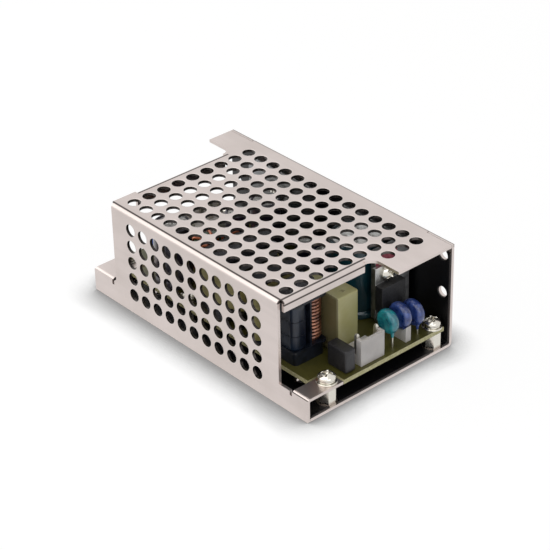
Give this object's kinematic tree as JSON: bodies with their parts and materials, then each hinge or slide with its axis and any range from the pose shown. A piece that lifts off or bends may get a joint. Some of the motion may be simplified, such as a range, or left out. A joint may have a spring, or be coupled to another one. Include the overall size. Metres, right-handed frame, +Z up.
{
  "type": "open frame power supply",
  "caption": "Low, long power supply: a circuit board full of parts in a folded metal case with a perforated top and side and open ends.",
  "frame": {"origin": "centre of the base's underside, midway between the perforated wall's and the screwed flange's outer faces and between the two open ends", "axes": "+Z up; +X across the case from the perforated wall to the solid wall; +Y along the case, from the mains header's end (-Y) to the output header's end (+Y)"},
  "size_m": [0.062, 0.1034, 0.037],
  "materials": {
    "case_metal": "satin aluminium sheet, lightly brushed",
    "black_film": "smooth black insulating film",
    "board_laminate": "paper and glass laminate with a varnished olive top",
    "fixing_steel": "bright nickel plate",
    "tinned_metal": "tin plate",
    "white_nylon": "off-white moulding",
    "black_moulding": "fine matt black moulding",
    "dark_moulding": "dark bobbin moulding",
    "pale_moulding": "pale grey moulding",
    "film_box": "olive yellow moulded box",
    "teal_coating": "glossy teal dip coating",
    "blue_coating": "glossy blue dip coating",
    "ferrite": "ground grey ferrite",
    "enamelled_copper": "clear enamel over copper wire",
    "yellow_tape": "yellow polyester tape",
    "dark_sleeve": "dark shrink sleeve with a bare can top",
    "grey_sleeve": "grey violet shrink sleeve with a bare can top",
    "sink_aluminium": "plain mill aluminium",
    "pink_pad": "dull red silicone pad",
    "ring_powder": "painted green powder core",
    "resistor_lacquer": "pale blue lacquer with plain colour rings",
    "blue_moulding": "blue moulding with a white rotor",
    "green_lens": "green tinted clear lens"
  },
  "bodies": {
    "root": {"cover": "case_metal", "chassis": "case_metal", "insulating_liner": "black_film", "circuit_board": "board_laminate", "board_standoffs": "fixing_steel", "tab_standoffs": "fixing_steel", "board_screws": "fixing_steel", "tab_screws": "fixing_steel", "flange_screws": "fixing_steel", "input_header": "white_nylon", "input_pins": "tinned_metal", "input_fuse": "black_moulding", "film_capacitor": "film_box", "varistor": "teal_coating", "disc_capacitors": "blue_coating", "capacitor_spacer": "white_nylon", "line_choke_core": "ferrite", "line_choke_bobbin": "dark_moulding", "line_choke_windings": "enamelled_copper", "filter_inductor": "yellow_tape", "bridge_rectifier": "black_moulding", "bulk_capacitor": "dark_sleeve", "primary_heatsink": "sink_aluminium", "thermal_pad": "pink_pad", "switching_transistor": "black_moulding", "transistor_screw": "fixing_steel", "transformer_core": "ferrite", "transformer_bobbin": "dark_moulding", "transformer_winding": "yellow_tape", "control_chip": "black_moulding", "optocoupler": "pale_moulding", "safety_capacitor": "blue_coating", "output_heatsink": "sink_aluminium", "output_rectifier": "black_moulding", "rectifier_screw": "fixing_steel", "output_capacitors": "grey_sleeve", "output_choke_core": "ring_powder", "output_choke_winding": "enamelled_copper", "small_capacitors": "dark_sleeve", "resistors": "resistor_lacquer", "voltage_trimmer": "blue_moulding", "indicator_led": "green_lens", "output_header": "white_nylon", "output_pins": "tinned_metal"}
  },
  "joints": []
}
